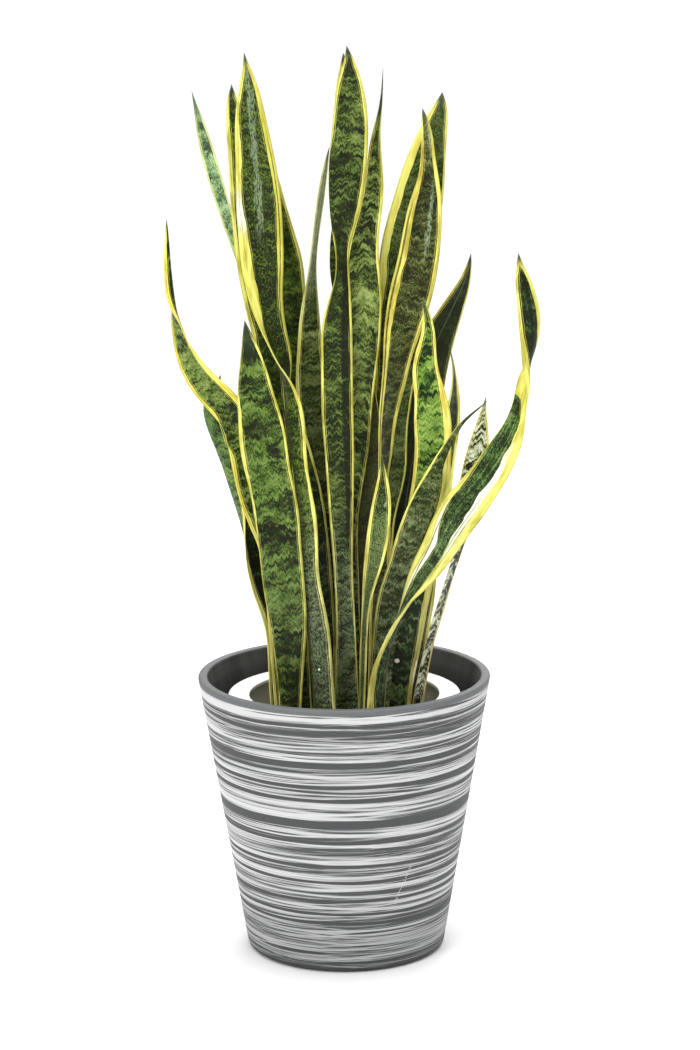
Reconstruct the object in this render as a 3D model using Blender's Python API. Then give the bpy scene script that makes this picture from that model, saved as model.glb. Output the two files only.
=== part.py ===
"""A potted laurentii snake plant: a striped planter, a grow pot with a white collar, soil and 26 leaves.

Metres, +Z up. The origin is the middle of the planter's underside, and the plant's front faces -Y.
"""
import math

import bmesh
import bpy
import numpy as np
from mathutils import Vector

MM = 0.001

# The planter, a straight taper with a rounded foot
RIM_RADIUS = 0.175
FOOT_RADIUS = 0.1186
PLANTER_HEIGHT = 0.336
RIM_WIDTH = 0.0114
FLOOR_THICKNESS = 0.012
FOOT_ROUNDING = 0.009
RIM_ROUNDING = 0.003

# The grow pot that stands in the planter, and the flat collar on its lip
SEAT_GAP = 0.0003
GROW_POT_WALL = 0.003
GROW_POT_FOOT_RADIUS = 0.099
GROW_POT_TOP_RADIUS = 0.1215
GROW_POT_TOP = 0.3075
LIP_RADIUS = 0.131
LIP_THICKNESS = 0.0035
COLLAR_OUTER_RADIUS = 0.1392
COLLAR_INNER_RADIUS = 0.1139
COLLAR_THICKNESS = 0.0038
COLLAR_ROUNDING = 0.0012

# The soil and the slots that the leaves stand in
SOIL_TOP = 0.272
ROOT_DEPTH = 0.030
SLOT_CLEARANCE = 0.0004

TURNED_STEPS = 56
POLE_MERGE = 0.00001

# The leaf outlines are measured in elevation: as seen from this place, on the upright plane through
# the planter's axis. A leaf nearer or farther than that plane is scaled about the eye and shows the
# same outline.
EYE_ACROSS = 0.0083
EYE_DISTANCE = 3.514
EYE_HEIGHT = 1.248

# A blade's cross-section
COLUMNS = 5
BLADE_THICKNESS = 0.0034
PETIOLE_THICKNESS = 0.0062
THINNEST = 0.0011
THICKER_PER_WIDTH = 0.08
LEAST_WIDTH = 0.0014
USUAL_CUP = 0.13
CUP_POWER = 1.5

# A blade's rings, which lie a little closer together toward the tip, and the ripple of its margins
RING_SPACING = 0.028
TIP_CROWDING = 1.15
PETIOLE_FADE = 3
WAVE_LENGTH = 0.125
WAVE_HEIGHT = 0.0022
FULL_WAVE_WIDTH = 0.04
FULL_WAVE_SHARE = 0.25

# Each leaf has a root, (across, depth, width, turn) at the soil, and a blade, a row for each station
# going up: (height, across, depth, width, turn). Lengths are in millimetres; across and height are in
# elevation, depth is behind the axis, and width is the blade's own. A turn of 0 degrees faces the
# viewer and 90 faces right. The last station is the tip. cup is how deep the blade is folded, as a
# share of its width, and spacing is how far apart its rings of points lie.
LEAVES = {
    "leaf_front_left_broad": dict(
        root=(-64, -66, 23, 0), cup=0.12,
        blade=[
            (331, -64.7, -67, 30, 0), (364, -65, -68, 37, 0), (405, -67, -70, 45, 0),
            (447, -71.5, -72, 49, 0), (499, -75.6, -74, 49, 0), (524, -77.7, -75, 53.5, 0),
            (547, -80.6, -75, 52.5, 0), (570, -85.7, -76, 49.5, 0), (608, -93.2, -76, 56, 0),
            (632, -94.7, -76, 53.5, 0), (656, -99, -75, 47.5, 0), (680, -103, -74, 41, 0),
            (704, -104.6, -73, 32, 0), (727, -107, -72, 21, 0), (751, -111.6, -70, 8, 0),
            (763, -113.4, -70, 0, 0),
        ],
    ),
    "leaf_left_sweep": dict(
        root=(-68, -51, 25, 0), cup=0.18, spacing=0.018,
        blade=[
            (405, -74, -50, 34, 0), (496, -82.5, -48, 37, 0), (519, -92, -48, 38, 0),
            (566, -106, -49, 40, 0), (608, -113, -50, 41, 0), (632, -119.5, -52, 40, 0),
            (650, -128, -55, 37, 0), (668, -143.6, -58, 39, -5), (692, -165.6, -62, 36, -20),
            (716, -180.4, -64, 34, -33), (740, -189.5, -65, 31, -47), (752, -192.5, -65, 31, -55),
            (767, -197.3, -65, 30, -70), (787, -200.5, -65, 28, -104), (811, -202.6, -64, 24, -112),
            (834, -203.1, -63, 18, -110), (862, -202.6, -62, 8, -110), (882.5, -202.4, -61, 0, -110),
        ],
    ),
    "leaf_left_low": dict(
        root=(-72, -27, 29, 20), cup=0.3,
        blade=[
            (345, -75, -25, 34, 18), (372, -74, -22, 34, 16), (396, -77, -20, 34, 15),
            (418, -84.5, -18, 34, 16), (439, -93.5, -16, 35, 20), (475, -101, -12, 36, 35),
            (512, -107.5, -10, 38, 70), (549, -118, -8, 39, 95), (593, -131, -6, 40, 100),
            (620, -141, -5, 40, 125), (651, -152.5, -5, 40, 128), (668, -155.7, -5, 33, 125),
            (684, -146, -5, 14, 115), (691, -141.5, -5, 3, 105), (699, -142, -5, 0, 105),
        ],
    ),
    "leaf_left_dark": dict(
        root=(-50, -38, 25, 0), cup=0.12,
        blade=[
            (377, -58, -35, 30, 0), (450, -64, -30, 32, 0), (523, -70, -26, 34, 0),
            (600, -77, -20, 36, 0), (668, -84, -16, 33, 0), (715, -85, -15, 31, 0),
            (739, -87, -15, 32, 0), (786, -96, -15, 36, 0), (845, -105, -15, 37, 0),
            (927, -112, -17, 34, 0), (950, -114.5, -18, 29, 0), (973, -118, -19, 26, 0),
            (996, -120.8, -20, 22, 0), (1007, -122.5, -20, 18, 0), (1019, -124.3, -20, 12, 0),
            (1037, -124.5, -20, 0, 0),
        ],
    ),
    "leaf_left_tall": dict(
        root=(-21, -62, 34, 140), cup=0.24, spacing=0.022,
        blade=[
            (377, -29.6, -60, 38, 135), (450, -39, -58, 38, 130), (523, -42.3, -56, 36, 125),
            (572, -47.5, -55, 34, 125), (620, -52.9, -54, 40, 120), (663, -56.2, -52, 43, 112),
            (691, -58.5, -51, 42, 97), (706, -62.3, -50, 41, 82), (721, -68.5, -50, 41, 66),
            (739, -75.2, -49, 42, 56), (763, -82.5, -48, 42, 37), (786, -88, -48, 43, 21),
            (810, -90.5, -48, 45, 10), (833, -92, -48, 50, 6), (880, -94, -49, 52, 0),
            (926, -96.6, -50, 49, 0), (961, -99.6, -51, 43, 0), (995, -103.2, -52, 36, 0),
            (1018, -104.3, -53, 28.5, 0), (1041, -105.4, -54, 17.5, 0), (1062, -108, -55, 5, 0),
            (1073, -109.6, -55, 0, 0),
        ],
    ),
    "leaf_left_back": dict(
        root=(-30, 14, 24, 0),
        blade=[
            (400, -36, 15, 30, 0), (600, -50, 18, 38, 0), (700, -57, 18, 42, 0), (786, -63, 17, 42, 0),
            (809, -62.5, 16, 42, 0), (833, -66, 16, 43, 0), (856, -72.6, 15, 42, 0),
            (880, -78, 14, 38, 0), (903, -83.6, 13, 36, 0), (920, -85, 13, 32, 0),
            (944, -89, 12, 23, 0), (970, -93, 11, 10, 0), (988, -95, 10, 0, 0),
        ],
    ),
    "leaf_far_left_slender": dict(
        root=(-42, 30, 20, 0),
        blade=[
            (500, -65, 32, 24, 0), (700, -88, 32, 22, 0), (800, -104, 30, 18, 0),
            (830, -113, 29, 16, 0), (866, -126, 28, 15, 0), (892, -134.8, 27, 15, 0),
            (938, -148, 25, 17, 0), (961, -154, 24, 16, 0), (984.5, -160, 23, 12.5, 0),
            (1007, -165, 22, 6, 0), (1019, -168.4, 22, 2, 0), (1030, -170.7, 22, 0, 0),
        ],
    ),
    "leaf_centre_left_short": dict(
        root=(-26, -30, 24, 0), cup=0.08,
        blade=[
            (376, -24, -25, 28, 0), (438, -28.5, -20, 32, 0), (507, -35, -18, 34, 0),
            (541, -38.5, -18, 34, 0), (565, -43, -18, 32, 0), (598, -47, -18, 24, 0),
            (626, -48.5, -18, 13, 0), (645, -50, -18, 0, 0),
        ],
    ),
    "leaf_centre_left_slender": dict(
        root=(-14, -12, 25, 0), cup=0.1,
        blade=[
            (400, -16, -4, 30, 0), (500, -18, 0, 32, 0), (571, -24, 3, 32, 0), (620, -30, 3, 34, 0),
            (667, -36, 2, 36, 0), (691, -37.5, 1, 35, 0), (739, -37.5, 0, 30, 25),
            (762, -37.3, 0, 30, 42), (786, -36.2, 0, 30, 55), (833, -32, 0, 26, 69),
            (880, -26.3, 0, 22, 74), (926, -19.5, 0, 16, 60), (949, -15.5, 0, 8, 50),
            (965, -12.2, 0, 0, 50),
        ],
    ),
    "leaf_centre_tall": dict(
        root=(4, -42, 32, 0), cup=0.16,
        blade=[
            (322, 2.3, -43, 29, 0), (380, 2.5, -44, 24, 0), (454, 0.2, -44, 22, 0),
            (511, -1.5, -44, 27, 0), (559, -2.6, -44, 31, 0), (607, -3.5, -44, 34.5, 0),
            (643, -5.5, -44, 37, 0), (739, -5.8, -45, 37, 0), (764, -5.4, -46, 35, 8),
            (786, -1.7, -46, 34, 35), (809, 2, -46, 34, 55), (827, 2.7, -46, 32, 65),
            (844, 1, -46, 30, 66), (862, 2.1, -46, 32, 51), (879, 4, -46, 36, 33),
            (902, 5.6, -47, 40, 18), (926, 7.5, -48, 43, 8), (949, 9.1, -48, 44, 0),
            (972, 11.3, -49, 42.5, 0), (995, 12.3, -49, 40.5, 0), (1018, 12.5, -50, 35.5, 0),
            (1040, 12.3, -50, 26, 0), (1052, 12.4, -50, 19, 0), (1063, 11.6, -50, 11.5, 0),
            (1072, 9.7, -50, 4, 0), (1080, 8.3, -50, 0, 0),
        ],
    ),
    "leaf_centre_tall_behind": dict(
        root=(2, 24, 25, 0),
        blade=[
            (450, 6, 26, 30, 0), (600, 12, 26, 34, 0), (700, 18, 25, 36, 0), (790, 15, 19, 46, 0),
            (812, 12.5, 17, 52, 0), (848, 12.5, 12, 52, 0), (900, 13, 3, 38, 0),
            (950, 11, -10, 37, 0), (994, 12, -20, 37, 0), (1017, 11, -24, 34, 0),
            (1040, 9, -26, 26, 0), (1060, 6.5, -27, 10, 0), (1071.5, 4.3, -27, 0, 0),
        ],
    ),
    "leaf_centre_long_tip": dict(
        root=(12, -26, 24, 0), cup=0.1,
        blade=[
            (380, 8, -28, 24, 0), (450, 5, -28, 27, 0), (510, 3, -28, 28, 0), (547, 5.5, -28, 30, 0),
            (577, 9.5, -28, 32, 0), (607, 14, -28, 34, 0), (643, 16.4, -27, 36, 0),
            (691, 20, -26, 38, 0), (738, 25.7, -25, 40, 0), (785, 27.5, -23, 41, 0),
            (832, 25, -20, 37.5, 0), (867, 30, -17, 29, 0), (891, 35.7, -15, 26, 0),
            (914, 38.7, -14, 24, 0), (937, 40.3, -13, 18.6, 0), (960, 39.9, -12, 15, 0),
            (983, 42.3, -12, 9.2, 0), (1006, 47, -12, 3.5, 0), (1030, 49.2, -12, 1.8, 0),
            (1057, 50.2, -12, 0, 0),
        ],
    ),
    "leaf_centre_dark": dict(
        root=(10, -4, 23, 0), cup=0.06,
        blade=[
            (400, 16, -10, 27, 0), (500, 24, -13, 30, 0), (560, 30, -14, 30, 0), (620, 33, -14, 26, 0),
            (665, 35, -14, 14, 0), (690, 36, -14, 0, 0),
        ],
    ),
    "leaf_front_short": dict(
        root=(20, -62, 16, -70), cup=0.1,
        blade=[
            (353, 22.7, -66, 20, -68), (404, 25, -69, 24, -66), (435, 27.6, -71, 26, -64),
            (466, 35, -74, 27, -44), (492, 39.8, -76, 27, -17), (515, 42.7, -77, 26.5, -5),
            (534, 45.3, -78, 24.5, 0), (553, 47.2, -78, 20.5, 0), (571, 48, -78, 12.5, 0),
            (587, 47, -78, 5.3, 0), (601, 46.4, -78, 0, 0),
        ],
    ),
    "leaf_right_tall_front": dict(
        root=(38, -28, 24, 10), cup=0.12,
        blade=[
            (400, 43, -32, 26, 20), (500, 46, -33, 28, 45), (571, 47.5, -33, 28, 60),
            (601, 51, -33, 30, 53), (643, 53, -32, 32, 56), (667, 57.2, -31, 36, 47),
            (690, 61.8, -30, 40, 38), (714, 64.7, -29, 42, 34), (738, 69, -28, 45, 25),
            (762, 73.8, -27, 46, 18), (785, 80, -26, 51, 5), (808, 85, -26, 50, 0),
            (832, 90.7, -25, 47.5, 0), (878, 96.4, -24, 43, 0), (902, 99.6, -24, 36.6, 0),
            (925, 102.6, -24, 25, 0), (948, 102, -24, 17, 0), (971, 101, -24, 14.5, 0),
            (994, 98.7, -24, 8.7, 0), (1008, 95.5, -24, 0, 0),
        ],
    ),
    "leaf_right_tall_back": dict(
        root=(34, 2, 24, 0), cup=0.1,
        blade=[
            (400, 38, 2, 27, 0), (498, 45, 1, 29, 0), (516, 45.5, 1, 29, 0), (547, 50, 0, 33, 0),
            (577, 57.5, 0, 38, 0), (625, 56, 0, 40, 0), (667, 59, 0, 44, 0), (690, 61.5, 0, 47, 0),
            (738, 67, 0, 54, 0), (786, 72, 0, 59, 0), (832, 74.5, 0, 61, 0), (878, 84.7, 0, 60, 0),
            (902, 91, -1, 57, 0), (925, 95, -1, 52.5, 0), (948, 99.7, -2, 45.5, 0),
            (971, 105.4, -3, 36, 0), (994, 112, -4, 26.5, 0), (1005, 115.7, -4, 20, 0),
            (1017, 118.6, -5, 11, 0), (1026, 118.5, -5, 0, 0),
        ],
    ),
    "leaf_front_right_wavy": dict(
        root=(63, -44, 26, 0), cup=0.1,
        blade=[
            (338, 68, -46, 32, 0), (360, 72, -47, 37, 0), (411, 79, -49, 40, 0),
            (459, 88.3, -52, 41, 0), (514, 95, -55, 42, 0), (540, 98.6, -56, 43, 0),
            (558, 104.3, -57, 45, 0), (583, 106, -58, 43, 0), (631, 108, -59, 42.5, 0),
            (655, 105.6, -60, 45.5, 0), (666, 106, -60, 40, 0), (678, 102.7, -60, 33.5, 0),
            (700, 97.2, -60, 31.7, 0), (714, 97, -60, 27.6, 0), (726, 99.3, -60, 23, 0),
            (738, 103, -60, 17.6, 0), (761, 101.7, -59, 11.5, 0), (773, 98.5, -59, 8.5, 0),
            (786, 95, -58, 0, 0),
        ],
    ),
    "leaf_front_whisker": dict(
        root=(39, -56, 22, 0), cup=0.1,
        blade=[
            (353, 45.8, -60, 27, 0), (404, 51, -66, 29, 0), (428, 54.6, -69, 29, 0),
            (464, 67.2, -73, 27, 0), (498, 77, -76, 30, 0), (531, 90.3, -78, 32.5, 0),
            (546, 96.2, -79, 30, 0), (567, 104, -80, 23, 0), (587, 111, -81, 14, 0),
            (609, 121.8, -82, 9.3, 0), (628, 133.6, -83, 6.6, 0), (640, 141, -84, 3.8, 0),
            (649, 152.4, -84, 2.8, 0), (658, 163.6, -85, 2, 0), (668, 174.8, -85, 0, 0),
        ],
    ),
    "leaf_front_right_sweep": dict(
        root=(34, -81, 29, -137), cup=0.15, spacing=0.02,
        blade=[
            (338, 42, -86, 32, -130), (374, 52, -91, 34, -115), (405, 63, -96, 36, -92),
            (428, 74.5, -99, 38, -70), (459, 95, -101, 42, -45), (486, 112.7, -102, 44, -35),
            (510, 124.7, -103, 47, -15), (534, 141.3, -104, 49, -8), (570, 169, -105, 42, -15),
            (594, 183.8, -106, 40, -20), (618, 197.5, -107, 37, -31), (642, 206.5, -108, 32, -46),
            (666, 211.5, -109, 30, -60), (690, 212.5, -110, 32, -77), (704, 212.5, -110, 33, -100),
            (714, 217.5, -110, 34, -119), (737, 221, -110, 32, -132), (760, 220.5, -110, 30, -145),
            (784, 217.5, -110, 27, -150), (808, 212, -110, 21, -155), (822, 209, -110, 12, -155),
            (831, 207.6, -110, 5, -155), (840, 207, -110, 0, -155),
        ],
    ),
    "leaf_right_pale": dict(
        root=(83, -26, 23, 50), cup=0.08,
        blade=[
            (345, 96.4, -30, 22, 52), (369, 102.4, -32, 22, 54), (394, 108.4, -34, 22, 56),
            (418, 116.8, -36, 22, 60), (440, 122.8, -38, 22, 60), (473, 133.6, -40, 24, 57),
            (504, 140, -42, 28, 47), (534, 147, -44, 31, 30), (570, 155, -47, 33, 10),
            (606, 160, -49, 26, 0), (630, 164.3, -50, 17.7, 0), (654, 166.6, -50, 6, 0),
            (671, 169.5, -50, 0, 0),
        ],
    ),
    "leaf_right_short_back": dict(
        root=(84, -6, 25, 40), cup=0.1,
        blade=[
            (350, 88, -5, 28, 40), (394, 91, -4, 30, 40), (418, 96.5, -3, 30, 40),
            (440, 100, 0, 31, 42), (473, 102, 1, 31, 42), (500, 107, 2, 32, 42), (562, 118, 4, 34, 42),
            (594, 123, 5, 34, 45), (618, 127, 6, 34, 50), (642, 130, 7, 32, 55),
            (669, 132.5, 8, 27, 61), (684, 133.5, 8, 17, 64), (702, 132.5, 8, 9, 65),
            (720, 129, 8, 4, 62), (734, 125.4, 8, 0, 60),
        ],
    ),
    "leaf_right_lean_back": dict(
        root=(61, 10, 24, 0),
        blade=[
            (400, 66, 9, 28, 0), (500, 70, 9, 30, 0), (560, 77, 11, 30, 0), (620, 88, 15, 36, 0),
            (650, 96, 19, 40, 0), (690, 100, 25, 43, 0), (714, 104.5, 29, 43, 0), (738, 112, 32, 40, 0),
            (761, 123.6, 35, 30, 0), (785, 135, 38, 22.5, 0), (808, 145.6, 40, 12.3, 0),
            (820, 148.8, 41, 8.5, 0), (831, 151.2, 41, 3, 0), (840, 151.7, 42, 0, 0),
        ],
    ),
    "leaf_back_left": dict(
        root=(-67, 22, 22, 180),
        blade=[
            (340, -70, 36, 25, 178), (400, -74, 46, 28, 175), (500, -80, 52, 34, 170),
            (650, -92, 50, 36, 170), (700, -95, 51, 22, 170), (735, -96, 52, 0, 170),
        ],
    ),
    "leaf_back_left_centre": dict(
        root=(-28, 48, 25, 180),
        blade=[
            (400, -34, 54, 32, 180), (500, -42, 58, 38, 185), (650, -52, 62, 38, 185),
            (740, -60, 62, 22, 185), (790, -64, 60, 0, 185),
        ],
    ),
    "leaf_back_centre": dict(
        root=(24, 50, 25, 180),
        blade=[
            (400, 24, 58, 34, 180), (500, 24, 64, 40, 180), (650, 26, 68, 40, 175),
            (720, 28, 67, 26, 175), (770, 30, 65, 0, 175),
        ],
    ),
    "leaf_back_right": dict(
        root=(66, 38, 23, 180),
        blade=[
            (400, 70, 44, 30, 182), (500, 76, 50, 35, 185), (600, 88, 55, 35, 188),
            (650, 94, 57, 22, 190), (690, 98, 58, 0, 190),
        ],
    ),
}


def clear_scene():
    for obj in list(bpy.data.objects):
        bpy.data.objects.remove(obj, do_unlink=True)


def material(name, colour, roughness, metallic=0.0):
    made = bpy.data.materials.new(name)
    made.use_nodes = True
    shader = made.node_tree.nodes["Principled BSDF"]
    shader.inputs["Base Color"].default_value = (*colour, 1.0)
    shader.inputs["Roughness"].default_value = roughness
    shader.inputs["Metallic"].default_value = metallic
    return made


def add_object(name, mesh, finish):
    obj = bpy.data.objects.new(name, mesh)
    bpy.context.scene.collection.objects.link(obj)
    mesh.materials.append(finish)
    return obj


def arc(centre, radius, start, end, steps=3):
    """Points (radius, height) on a round corner, from one angle to another in degrees."""
    angles = np.radians(np.linspace(start, end, steps + 1))
    return [(centre[0] + radius * math.cos(a), centre[1] + radius * math.sin(a)) for a in angles]


def turned(name, profile, finish, closed=False):
    """A solid turned about Z from (radius, height) points that run down its outer side."""
    mesh = bpy.data.meshes.new(name)
    edges = [(i, i + 1) for i in range(len(profile) - 1)]
    if closed:
        edges.append((len(profile) - 1, 0))
    mesh.from_pydata([(r, 0.0, z) for r, z in profile], edges, [])
    obj = add_object(name, mesh, finish)
    screw = obj.modifiers.new("turn", "SCREW")
    screw.axis = "Z"
    screw.angle = 2 * math.pi
    screw.steps = TURNED_STEPS
    screw.render_steps = TURNED_STEPS
    screw.use_merge_vertices = True
    screw.merge_threshold = POLE_MERGE
    screw.use_smooth_shade = True
    return obj


def planter_radius(height):
    """The planter's outer radius at a height."""
    return FOOT_RADIUS + (RIM_RADIUS - FOOT_RADIUS) * height / PLANTER_HEIGHT


def planter(finish):
    inner_top = RIM_RADIUS - RIM_WIDTH
    inner_floor = planter_radius(FLOOR_THICKNESS) - RIM_WIDTH
    round_out = RIM_RADIUS - RIM_ROUNDING
    foot_in = planter_radius(FOOT_ROUNDING) - FOOT_ROUNDING
    profile = [(0.0, FLOOR_THICKNESS), (inner_floor, FLOOR_THICKNESS)]
    profile += arc((inner_top + RIM_ROUNDING, PLANTER_HEIGHT - RIM_ROUNDING), RIM_ROUNDING, 180, 90)
    profile += arc((round_out, PLANTER_HEIGHT - RIM_ROUNDING), RIM_ROUNDING, 90, 0)
    profile += arc((foot_in, FOOT_ROUNDING), FOOT_ROUNDING, 0, -90)
    profile.append((0.0, 0.0))
    return turned("planter", profile, finish)


def grow_pot_radius(height):
    """The grow pot's outer radius at a height."""
    foot = FLOOR_THICKNESS + SEAT_GAP
    share = (height - foot) / (GROW_POT_TOP - foot)
    return GROW_POT_FOOT_RADIUS + (GROW_POT_TOP_RADIUS - GROW_POT_FOOT_RADIUS) * share


def grow_pot(finish):
    foot = FLOOR_THICKNESS + SEAT_GAP
    floor = foot + GROW_POT_WALL
    under_lip = GROW_POT_TOP - LIP_THICKNESS
    profile = [
        (0.0, floor),
        (grow_pot_radius(floor) - GROW_POT_WALL, floor),
        (GROW_POT_TOP_RADIUS - GROW_POT_WALL, GROW_POT_TOP),
        (LIP_RADIUS, GROW_POT_TOP),
        (LIP_RADIUS, under_lip),
        (grow_pot_radius(under_lip), under_lip),
        (GROW_POT_FOOT_RADIUS, foot),
        (0.0, foot),
    ]
    return turned("grow_pot", profile, finish)


def collar(finish):
    low = GROW_POT_TOP + SEAT_GAP
    high = low + COLLAR_THICKNESS
    inner = COLLAR_INNER_RADIUS
    outer = COLLAR_OUTER_RADIUS
    profile = [(inner, low)]
    profile += arc((inner + COLLAR_ROUNDING, high - COLLAR_ROUNDING), COLLAR_ROUNDING, 180, 90, 2)
    profile += arc((outer - COLLAR_ROUNDING, high - COLLAR_ROUNDING), COLLAR_ROUNDING, 90, 0, 2)
    profile.append((outer, low))
    return turned("collar", profile, finish, closed=True)


def place(height, across, depth):
    """The real place, in metres, of a point given in elevation millimetres at a depth behind the axis."""
    scale = 1 + depth * MM / EYE_DISTANCE
    x = EYE_ACROSS + (across * MM - EYE_ACROSS) * scale
    z = EYE_HEIGHT + (height * MM - EYE_HEIGHT) * scale
    return x, depth * MM, z


def smooth_rows(rows, at):
    """Rows read at new places along them, on a curve through every row that doesn't overshoot any."""
    rows = np.asarray(rows, float)
    steps = np.linalg.norm(np.diff(rows[:, :3], axis=0), axis=1)
    along = np.concatenate([[0.0], np.cumsum(steps)])
    slopes = np.diff(rows, axis=0) / steps[:, None]
    tangents = np.zeros_like(rows)
    tangents[0] = slopes[0]
    tangents[-1] = slopes[-1]
    for i in range(1, len(rows) - 1):
        before, after = slopes[i - 1], slopes[i]
        same_way = before * after > 0
        weight_before = steps[i] * 2 + steps[i - 1]
        weight_after = steps[i] + steps[i - 1] * 2
        mean = (weight_before + weight_after) / (
            weight_before / np.where(same_way, before, 1) + weight_after / np.where(same_way, after, 1))
        tangents[i] = np.where(same_way, mean, 0)
    places = np.asarray(at) * along[-1]
    found = []
    for where in places:
        i = min(int(np.searchsorted(along, where, side="right")) - 1, len(steps) - 1)
        i = max(i, 0)
        h = steps[i]
        t = (where - along[i]) / h
        found.append(
            rows[i] * (1 + 2 * t) * (1 - t) ** 2 + tangents[i] * h * t * (1 - t) ** 2
            + rows[i + 1] * t * t * (3 - 2 * t) + tangents[i + 1] * h * t * t * (t - 1))
    return np.array(found), along[-1]


def leaf_rows(root, blade):
    """A leaf's stations in metres and radians, from the soil's surface up: x, y, z, width, turn."""
    across, depth, width, turn = root
    rows = [(across * MM, depth * MM, SOIL_TOP, width * MM, math.radians(turn))]
    for height, across, depth, width, turn in blade:
        rows.append((*place(height, across, depth), width * MM, math.radians(turn)))
    return rows


def section(centre, up, width, turn, cup, thickness, wave):
    """A blade's ring of points across its path: its front and its back, each from margin to margin."""
    flat = Vector((math.cos(turn), math.sin(turn), 0.0))
    across = (flat - up * flat.dot(up)).normalized()
    out = across.cross(up)
    front, back = [], []
    for i in range(COLUMNS):
        u = 2 * i / (COLUMNS - 1) - 1
        fold = cup * width * (1 - abs(u) ** CUP_POWER)
        ripple = wave * (1 if u > 0 else -1) * u * u
        half = thickness / 2 * (1 - u * u) ** 0.5
        at = centre + across * (u * width / 2) + out * (ripple - fold)
        front.append(at + out * half)
        back.append(at - out * half)
    return front, back


def leaf(name, number, finish, root, blade, cup=USUAL_CUP, spacing=RING_SPACING):
    """One leaf: rings of points skinned with triangles that lie alike on its front and its back."""
    rows = leaf_rows(root, blade)
    length = sum(math.dist(a[:3], b[:3]) for a, b in zip(rows, rows[1:]))
    rings = round(length / spacing)
    shares = [1 - (1 - k / rings) ** TIP_CROWDING for k in range(rings + 1)]
    points, length = smooth_rows(rows, shares)
    sides = []
    for k in range(rings):
        x, y, z, width, turn = points[k]
        if k == 0:
            up = Vector((0.0, 0.0, 1.0))
        else:
            up = Vector(points[k + 1][:3] - points[k - 1][:3]).normalized()
        low = (1 - shares[k]) ** PETIOLE_FADE
        thickness = min(THINNEST + THICKER_PER_WIDTH * width, BLADE_THICKNESS)
        thickness += (PETIOLE_THICKNESS - BLADE_THICKNESS) * low
        swell = min(1.0, width / FULL_WAVE_WIDTH) * min(1.0, shares[k] / FULL_WAVE_SHARE)
        wave = WAVE_HEIGHT * swell * math.sin(2 * math.pi * shares[k] * length / WAVE_LENGTH + number)
        width = max(width, LEAST_WIDTH)
        sides.append(section(Vector((x, y, z)), up, width, turn, cup, thickness, wave))
    front, back = sides[0]
    sink = Vector((0.0, 0.0, -ROOT_DEPTH))
    sides.insert(0, ([p + sink for p in front], [p + sink for p in back]))

    shape = bmesh.new()
    skins = []
    for front, back in sides:
        front = [shape.verts.new(p) for p in front]
        inner = [shape.verts.new(p) for p in back[1:-1]]
        skins.append((front, [front[0], *inner, front[-1]]))
    tip = shape.verts.new(points[-1][:3])

    def face(*corners):
        kept = list(dict.fromkeys(corners))
        if len(kept) == 3:
            shape.faces.new(kept).smooth = True

    for (front, back), (next_front, next_back) in zip(skins, skins[1:]):
        for i in range(COLUMNS - 1):
            face(front[i], front[i + 1], next_front[i + 1])
            face(front[i], next_front[i + 1], next_front[i])
            face(back[i], next_back[i + 1], back[i + 1])
            face(back[i], next_back[i], next_back[i + 1])
    front, back = skins[-1]
    for i in range(COLUMNS - 1):
        face(front[i], front[i + 1], tip)
        face(back[i], tip, back[i + 1])
    front, back = skins[0]
    for i in range(COLUMNS - 1):
        face(front[i], back[i], back[i + 1])
        face(front[i], back[i + 1], front[i + 1])
    mesh = bpy.data.meshes.new(name)
    shape.to_mesh(mesh)
    shape.free()
    add_object(name, mesh, finish)


def slot(root, cup):
    """A cutter for the plain slot that a leaf stands in."""
    across, depth, width, turn = root
    width = width * MM
    turn = math.radians(turn)
    fold = cup * width
    out = Vector((math.sin(turn), -math.cos(turn), 0.0))
    centre = Vector((across * MM, depth * MM, SOIL_TOP)) - out * (fold / 2)
    bpy.ops.mesh.primitive_cube_add(size=1, location=centre, rotation=(0, 0, turn))
    cutter = bpy.context.active_object
    deep = 2 * (ROOT_DEPTH + SEAT_GAP)
    cutter.scale = (width + 2 * SLOT_CLEARANCE, PETIOLE_THICKNESS + fold + 2 * SLOT_CLEARANCE, deep)
    return cutter


def soil(finish):
    """The soil, which fills the grow pot up to a little below its lip, with a slot for each leaf."""
    floor = FLOOR_THICKNESS + GROW_POT_WALL + 2 * SEAT_GAP
    inset = GROW_POT_WALL + SEAT_GAP
    profile = [
        (0.0, SOIL_TOP),
        (grow_pot_radius(SOIL_TOP) - inset, SOIL_TOP),
        (grow_pot_radius(floor) - inset, floor),
        (0.0, floor),
    ]
    obj = turned("soil", profile, finish)
    cutters = [slot(leaf["root"], leaf.get("cup", USUAL_CUP)) for leaf in LEAVES.values()]
    group = bpy.data.collections.new("slots")
    for cutter in cutters:
        group.objects.link(cutter)
        cutter.hide_render = True
        cutter.display_type = "WIRE"
    cut = obj.modifiers.new("slots", "BOOLEAN")
    cut.operation = "DIFFERENCE"
    cut.operand_type = "COLLECTION"
    cut.collection = group
    cut.solver = "EXACT"
    return obj


def main():
    clear_scene()
    planter(material("streaked paint", (0.42, 0.43, 0.44), 0.55))
    grow_pot(material("olive grey plastic", (0.10, 0.10, 0.08), 0.6))
    collar(material("white plastic", (0.85, 0.85, 0.84), 0.5))
    soil(material("potting soil", (0.035, 0.025, 0.018), 0.95))
    green = material("banded leaf", (0.12, 0.22, 0.06), 0.4)
    for number, (name, shape) in enumerate(LEAVES.items()):
        leaf(name, number, green, **shape)


main()
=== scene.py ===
"""Looks for the potted laurentii snake plant: leaf skins, planter paint, soil, studio and camera."""
import math

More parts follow.
